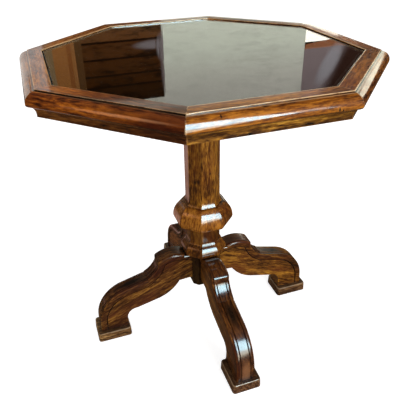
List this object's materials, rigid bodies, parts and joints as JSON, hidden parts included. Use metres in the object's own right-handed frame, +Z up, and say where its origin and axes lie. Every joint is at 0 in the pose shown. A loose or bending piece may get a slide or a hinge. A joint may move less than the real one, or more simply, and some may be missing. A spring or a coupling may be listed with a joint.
{
  "type": "octagonal pedestal display table",
  "caption": "Floor-standing octagonal pedestal table in lacquered hardwood, with a loose glass pane set in its moulded rim over a shallow lined recess, on a faceted column and scrolled legs.",
  "frame": {"origin": "on the floor, under the axis of the column, at the middle of the four feet", "axes": "+Z up along the column; one flat side of the octagonal top and one leg face each of +X (right), +Y (back), -X (left) and -Y (front)"},
  "size_m": [0.742, 0.742, 0.737],
  "materials": {
    "rim_wood": "gloss lacquer",
    "apron_wood": "gloss lacquer",
    "column_wood": "gloss lacquer",
    "leg_wood": "gloss lacquer",
    "foot_wood": "satin lacquer",
    "inner_wood": "unfinished",
    "lining_cloth": "felt",
    "pane_glass": "clear",
    "bumper_rubber": "matte",
    "fixing_steel": "zinc plated"
  },
  "bodies": {
    "table": {"rim_rail_1": "rim_wood", "rim_rail_2": "rim_wood", "rim_rail_3": "rim_wood", "rim_rail_4": "rim_wood", "rim_rail_5": "rim_wood", "rim_rail_6": "rim_wood", "rim_rail_7": "rim_wood", "rim_rail_8": "rim_wood", "apron_strip_1": "apron_wood", "apron_strip_2": "apron_wood", "apron_strip_3": "apron_wood", "apron_strip_4": "apron_wood", "apron_strip_5": "apron_wood", "apron_strip_6": "apron_wood", "apron_strip_7": "apron_wood", "apron_strip_8": "apron_wood", "mitre_splines": "inner_wood", "glass_ledges": "inner_wood", "glass_bumpers": "bumper_rubber", "recess_lining": "lining_cloth", "base_panel": "inner_wood", "bearer_lower": "inner_wood", "bearer_upper": "inner_wood", "bearer_screws": "fixing_steel", "column_shaft": "column_wood", "column_bulb": "column_wood", "column_neck": "column_wood", "column_collar": "column_wood", "leg_hub": "column_wood", "rod_washers": "fixing_steel", "rod_nuts": "fixing_steel", "tie_rod": "fixing_steel", "leg_right": "leg_wood", "leg_back": "leg_wood", "leg_left": "leg_wood", "leg_front": "leg_wood", "foot_right": "foot_wood", "foot_back": "foot_wood", "foot_left": "foot_wood", "foot_front": "foot_wood", "leg_tenons": "inner_wood"},
    "pane": {"glass_pane": "pane_glass"}
  },
  "joints": [
    {"name": "pane_lift", "type": "slide", "parent": "table", "child": "pane", "axis": [0, 0, 1], "range_m": [0, 0.06]}
  ]
}
